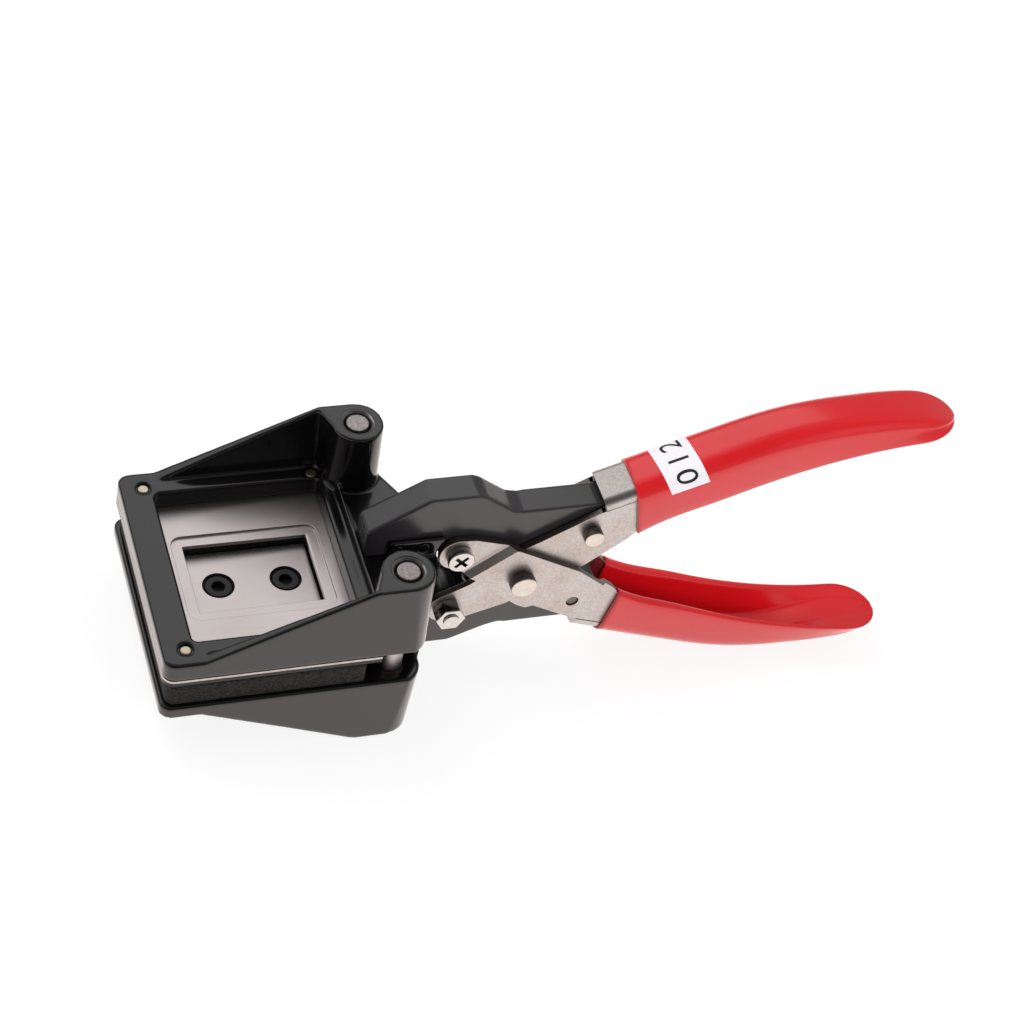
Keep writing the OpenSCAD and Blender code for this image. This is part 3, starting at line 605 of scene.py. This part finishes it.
def even_trough(skin, open_way):
    """Evens the open inner side, where the dip ran smooth over the sheet, and leaves the rim as it is."""
    mesh = skin.data
    bpy.context.view_layer.update()
    start = min(v.co.x for v in mesh.vertices) + TROUGH_FRONT * MM
    end = max(v.co.x for v in mesh.vertices) - TROUGH_END * MM
    half = {}
    for v in mesh.vertices:
        key = round(v.co.x / (TROUGH_SLICE * MM))
        half[key] = max(half.get(key, 0), abs(v.co.y))
    trough = skin.vertex_groups.new(name="trough")
    for v in mesh.vertices:
        inside = abs(v.co.y) < half[round(v.co.x / (TROUGH_SLICE * MM))] - TROUGH_RIM * MM
        if inside and start < v.co.x < end and v.normal.dot(open_way) > LOOK_AWAY:
            if not skin.ray_cast(v.co + SIGHT_GAP * MM * v.normal, open_way)[0]:
                trough.add([v.index], 1.0, "ADD")
    apply(skin, "SMOOTH", factor=0.5, iterations=TROUGH_PASSES, vertex_group="trough")


grips = {}
for part, open_way in (("upper", Vector((0.2, 0, -0.98))), ("lower", Vector((0.2, 0, 0.98)))):
    skin = copy_solid(part + "_grip", part + "_vinyl_grip", whole=False)
    edit_all(skin)
    bpy.ops.mesh.tris_convert_to_quads(face_threshold=math.pi, shape_threshold=math.pi)
    bpy.ops.object.mode_set(mode="OBJECT")
    keep_front_edge(skin)
    apply(skin, "SUBSURF", levels=2, render_levels=2)
    even_trough(skin, open_way)
    smooth_all_over(skin)
    skin.data.materials.append(vinyl)
    seat(skin, part + "_handle", "red_vinyl", part + "_grip")
    grips[part] = skin


# Label: a paper strip stuck over the back of the upper grip, printed with plain counting numbers

GRIP_SLOPE = math.radians(20.7)
GRIP_CORNER = 5.0
LABEL_REACH = 48.7
LABEL_WIDTH = 10.4
LABEL_LENGTH = 28.5
LABEL_SKEW = math.radians(6.5)
LABEL_DROP = 5.1
LABEL_GAP, LABEL_THICKNESS = 0.02, 0.09
LABEL_STEPS, LABEL_ROWS = 60, 22
PRINT_START = 1.95
PRINT_LENGTH = 25.0
PRINT_HEIGHT = 5.6
PRINT_OFFSET = 0.3
PRINT_GAP, PRINT_THICKNESS = 0.13, 0.02
# Points of the print that lie closer than this are one
PRINT_MERGE = 0.02
along_grip = Vector((math.cos(GRIP_SLOPE), 0, math.sin(GRIP_SLOPE)))
off_grip = Vector((-math.sin(GRIP_SLOPE), 0, math.cos(GRIP_SLOPE)))
label_zone = [v.co / MM - PIVOT for v in grips["upper"].data.vertices]
label_zone = [v for v in label_zone if abs(v.dot(along_grip) - LABEL_REACH) < LABEL_WIDTH / 2]
grip_back = max(v.dot(off_grip) for v in label_zone)
grip_half = max(v.y for v in label_zone)


def round_the_grip(spot):
    """Place on the upper grip's skin of a flat label's spot, x round the grip and y towards the head."""
    flat = grip_half - GRIP_CORNER
    bend = math.pi / 2 * GRIP_CORNER
    p = spot.x - (LABEL_DROP - GRIP_CORNER)
    if p < 0:
        side, rise = -grip_half, p - GRIP_CORNER
    elif p < bend:
        side = -flat - GRIP_CORNER * math.cos(p / GRIP_CORNER)
        rise = GRIP_CORNER * (math.sin(p / GRIP_CORNER) - 1)
    elif p < bend + 2 * flat:
        side, rise = p - bend - flat, 0.0
    elif p < 2 * (bend + flat):
        turn = (p - bend - 2 * flat) / GRIP_CORNER
        side, rise = flat + GRIP_CORNER * math.sin(turn), GRIP_CORNER * (math.cos(turn) - 1)
    else:
        side, rise = grip_half, 2 * (bend + flat) - p - GRIP_CORNER
    reach = LABEL_REACH - math.tan(LABEL_SKEW) * spot.x - spot.y
    return (PIVOT + along_grip * reach + off_grip * (grip_back + rise) + Vector((0, side, 0))) * MM


def stick_round_grip(piece, gap, thickness):
    """Wraps a flat piece drawn in millimetres over the upper grip and gives it a thickness."""
    pick(piece)
    for face in piece.data.polygons:
        if face.normal.z < 0:
            face.flip()
    for vertex in piece.data.vertices:
        vertex.co = round_the_grip(vertex.co)
    apply(piece, "SHRINKWRAP", target=grips["upper"], wrap_method="NEAREST_SURFACEPOINT",
          wrap_mode="ABOVE_SURFACE", offset=gap * MM)
    apply(piece, "SOLIDIFY", thickness=thickness * MM, offset=1.0)


pick_nothing()
bpy.ops.mesh.primitive_grid_add(x_subdivisions=LABEL_STEPS, y_subdivisions=LABEL_ROWS, size=1)
label = bpy.context.object
label.name = "paper_label"
edit_all(label)
bpy.ops.transform.resize(value=(LABEL_LENGTH, LABEL_WIDTH, 1))
bpy.ops.transform.translate(value=(LABEL_LENGTH / 2, 0, 0))
stick_round_grip(label, LABEL_GAP, LABEL_THICKNESS)
smooth(label, 50)
label.data.materials.append(paper)
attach(label, "upper_handle")

pick_nothing()
bpy.ops.object.text_add()
count = bpy.context.object
count.name = "label_numbers"
count.data.body = "01234"
count.data.resolution_u = 6
count.data.space_character = 1.25
bpy.ops.object.convert(target="MESH")
count = bpy.context.object
reach = [v.co.x for v in count.data.vertices]
height = [v.co.y for v in count.data.vertices]
stretch_x = PRINT_LENGTH / (max(reach) - min(reach))
stretch_y = PRINT_HEIGHT / (max(height) - min(height))
for vertex in count.data.vertices:
    vertex.co.x = PRINT_START + (vertex.co.x - min(reach)) * stretch_x
    vertex.co.y = (vertex.co.y - min(height)) * stretch_y - PRINT_HEIGHT / 2 - PRINT_OFFSET
edit_all(count)
for cut in range(1, LABEL_STEPS):
    bpy.ops.mesh.select_all(action="SELECT")
    bpy.ops.mesh.bisect(plane_co=(LABEL_LENGTH * cut / LABEL_STEPS, 0, 0), plane_no=(1, 0, 0))
bpy.ops.mesh.select_all(action="SELECT")
bpy.ops.mesh.remove_doubles(threshold=PRINT_MERGE)
bpy.ops.mesh.dissolve_degenerate(threshold=PRINT_MERGE)
stick_round_grip(count, PRINT_GAP, PRINT_THICKNESS)
count.data.materials.append(ink)
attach(count, "upper_handle")


# Foam pad: cut from sheet, a little uneven

PAD_ROUND = 0.4
PAD_GRAIN = 0.6
RIPPLE_SIZE, RIPPLE_DEPTH = 2.5, 0.12
# The level of the ripple's clouds that leaves the skin in place: most of the ripple goes inwards
RIPPLE_LEVEL = 0.9

pad = copy_solid("stripper_pad", "foam_pad")
round_edges(pad, PAD_ROUND, 2)
apply(pad, "REMESH", mode="VOXEL", voxel_size=PAD_GRAIN * MM)
ripple = bpy.data.textures.new("foam_ripple", "CLOUDS")
ripple.noise_scale = RIPPLE_SIZE * MM
apply(pad, "DISPLACE", texture=ripple, strength=RIPPLE_DEPTH * MM, mid_level=RIPPLE_LEVEL)
smooth_all_over(pad)
pad.data.materials.append(foam)
seat(pad, "lower_head", "foam_rubber", "stripper_pad")
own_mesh(pad)


# Return spring: round wire wound between the arms' seats

WIRE_R = 0.5
WIRE_SIDES = 14
COIL_R = 3.3
COIL_TURNS = 5.5
STEPS_IN_TURN = 30
coil_steps = int(STEPS_IN_TURN * COIL_TURNS)
coil_x = (coil_low.x + coil_high.x) / 2
coil_height = coil_high.z - coil_low.z
coil_rise = coil_height - 2 * WIRE_R

pick_nothing()
bpy.ops.mesh.primitive_circle_add(vertices=WIRE_SIDES, radius=WIRE_R * MM, fill_type="NOTHING",
                                  rotation=(math.pi / 2, 0, 0), location=(COIL_R * MM, 0, 0))
spring = bpy.context.object
spring.name = "wound_spring"
bpy.ops.object.transform_apply(location=True, rotation=True, scale=True)
apply(spring, "SCREW", angle=2 * math.pi * COIL_TURNS, screw_offset=coil_rise * MM, steps=coil_steps,
      render_steps=coil_steps, axis="Z")
edit_all(spring)
bpy.ops.mesh.fill_holes(sides=WIRE_SIDES)
bpy.ops.mesh.normals_make_consistent(inside=False)
bpy.ops.transform.translate(value=(coil_x * MM, 0, (PIVOT.z - coil_rise / 2) * MM))
bpy.ops.object.mode_set(mode="OBJECT")
smooth(spring, 60)
spring.data.materials.append(sheet)
seat(spring, "lower_head", "sheet_steel", "return_spring")
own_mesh(spring)


# Stage: a white table that touches the lower casting and the lower grip

TABLE_SIZE = 6.0
# A hair of air under the tool, in millimetres
TABLE_GAP = 0.1
# Brightness of the table for what mirrors it and for the camera, and the share of it that is its own glow
MIRRORED_LEVEL, SEEN_LEVEL = 1.5, 1.05
GLOW_SHARE = 0.8


def table_finish():
    """White card that keeps its shadow, with a glow that only the camera and glossy surfaces see."""
    material = bpy.data.materials.new("white_table")
    material.use_nodes = True
    tree = material.node_tree
    tree.nodes.remove(tree.nodes["Principled BSDF"])
    card = add(tree, "ShaderNodeBsdfDiffuse", {"Color": linear("#F4F4F4")})
    ray = add(tree, "ShaderNodeLightPath").outputs
    tint = two_tones(tree, "#FFF6F3", "#FFFFFF", ray["Is Camera Ray"])
    bright = spread(tree, ray["Is Camera Ray"], MIRRORED_LEVEL, SEEN_LEVEL)
    glow = add(tree, "ShaderNodeEmission", {}, {"Color": tint, "Strength": bright})
    seen = reckon(tree, "MAXIMUM", ray["Is Camera Ray"], ray["Is Glossy Ray"])
    seen = reckon(tree, "MAXIMUM", seen, ray["Is Transmission Ray"])
    share = reckon(tree, "MULTIPLY", seen, GLOW_SHARE)
    mix = add(tree, "ShaderNodeMixShader", {}, {0: share, 1: card.outputs[0], 2: glow.outputs[0]})
    tree.links.new(mix.outputs[0], tree.nodes["Material Output"].inputs["Surface"])
    return material


def down_on(slope):
    """The way straight down onto a table tilted by a slope."""
    return Vector((-math.sin(slope), 0, -math.cos(slope)))


def lowest(points, slope):
    """The point that a table tilted by a slope would touch first."""
    return max(points, key=down_on(slope).dot)


casting_points = [v.co / MM for v in castings["lower"].data.vertices]
grip_points = [v.co / MM for v in grips["lower"].data.vertices]
slope = 0.0
# The two points of touch and the slope settle in a few rounds
for _ in range(8):
    foot = lowest(casting_points, slope)
    heel = lowest(grip_points, slope)
    slope = math.atan2(foot.z - heel.z, heel.x - foot.x)
pick_nothing()
bpy.ops.mesh.primitive_plane_add(size=TABLE_SIZE)
table = bpy.context.object
table.name = "table"
edit_all(table)
bpy.ops.mesh.subdivide(number_cuts=1)
bpy.ops.object.mode_set(mode="OBJECT")
top = Matrix.Translation((foot + TABLE_GAP * down_on(slope)) * MM)
table.data.transform(top @ Matrix.Rotation(slope, 4, "Y"))
table.data.materials.append(table_finish())


# Light: a dim room, darkest where the camera stands, a softbox over the back left that shows in what
# is glossy, and two broad soft lamps that don't. Places and sizes are in metres.

# The way to the dark part of the room, and how near to it the wall turns dark
DARK_WAY = (-0.17, -0.63, 0.76)
DARK_FROM, DARK_FULL = 0.62, 0.92
WALL_LEVEL, DARK_LEVEL = 0.36, 0.12
ROOM_LEVEL = 0.55
SOFTBOX_RIGHT = 0.135
SOFTBOX_NEAR, SOFTBOX_FAR = 0.09, 0.38
SOFTBOX_HEIGHT = 0.30
LAMP_TARGET = Vector((0, 0, 0.04))

world = bpy.data.worlds.new("white_room")
bpy.context.scene.world = world
world.use_nodes = True
tree = world.node_tree
back = tree.nodes["Background"]
ray = add(tree, "ShaderNodeLightPath").outputs
way = add(tree, "ShaderNodeTexCoord")
toward = add(tree, "ShaderNodeVectorMath", {"operation": "DOT_PRODUCT", 1: DARK_WAY},
             {0: way.outputs["Generated"]})
wall = add(tree, "ShaderNodeMapRange",
           {"interpolation_type": "SMOOTHSTEP", "From Min": DARK_FROM, "From Max": DARK_FULL,
            "To Min": WALL_LEVEL, "To Max": DARK_LEVEL}, {"Value": toward.outputs["Value"]})
mirrored = reckon(tree, "MAXIMUM", ray["Is Glossy Ray"], ray["Is Transmission Ray"])
level = add(tree, "ShaderNodeMix", {"data_type": "FLOAT", 2: ROOM_LEVEL}, {0: mirrored, 3: wall.outputs[0]})
level = add(tree, "ShaderNodeMix", {"data_type": "FLOAT", 3: 1.0},
            {0: ray["Is Camera Ray"], 2: level.outputs[0]})
back.inputs["Color"].default_value = (1, 1, 1, 1)
tree.links.new(level.outputs[0], back.inputs["Strength"])


def area_lamp(name, shape, place, size, power):
    data = bpy.data.lights.new(name, "AREA")
    data.shape = shape
    data.size = size
    data.energy = power
    lamp = bpy.data.objects.new(name, data)
    lamp.location = place
    bpy.context.scene.collection.objects.link(lamp)
    return lamp


def soft_lamp(name, place, size, power):
    """A round lamp aimed at the tool, not seen in glossy surfaces."""
    lamp = area_lamp(name, "DISK", place, size, power)
    lamp.visible_glossy = False
    lamp.rotation_euler = (LAMP_TARGET - Vector(place)).to_track_quat("-Z", "Y").to_euler()


def softbox(name, left, level):
    """A sheet of light over the back, from a left edge to the common right one, seen in glossy surfaces."""
    width = SOFTBOX_RIGHT - left
    depth = SOFTBOX_FAR - SOFTBOX_NEAR
    place = ((left + SOFTBOX_RIGHT) / 2, (SOFTBOX_NEAR + SOFTBOX_FAR) / 2, SOFTBOX_HEIGHT)
    lamp = area_lamp(name, "RECTANGLE", place, width, level * math.pi * width * depth)
    lamp.data.size_y = depth
    lamp.visible_camera = False


softbox("softbox", -0.32, 1.0)
softbox("softbox_core", -0.04, 0.6)
soft_lamp("key", (-0.35, 0.25, 0.95), 0.55, 3.6)
soft_lamp("fill", (0.45, -0.85, 0.5), 0.6, 5.0)


# Camera: solved from the photograph, in metres, degrees and millimetres of lens

CAMERA_PLACE = (-0.214015, -0.397487, 0.523354)
CAMERA_TURN = (43.2072, -9.77354, -16.69746)
CAMERA_LENS = 87.919
CAMERA_SENSOR = 36.0

camera_data = bpy.data.cameras.new("camera")
camera_data.sensor_width = CAMERA_SENSOR
camera_data.lens = CAMERA_LENS
camera = bpy.data.objects.new("camera", camera_data)
camera.location = CAMERA_PLACE
camera.rotation_euler = Euler([math.radians(a) for a in CAMERA_TURN], "XYZ")
bpy.context.scene.collection.objects.link(camera)
bpy.context.scene.camera = camera
bpy.context.scene.view_settings.view_transform = "Standard"

bpy.context.view_layer.update()
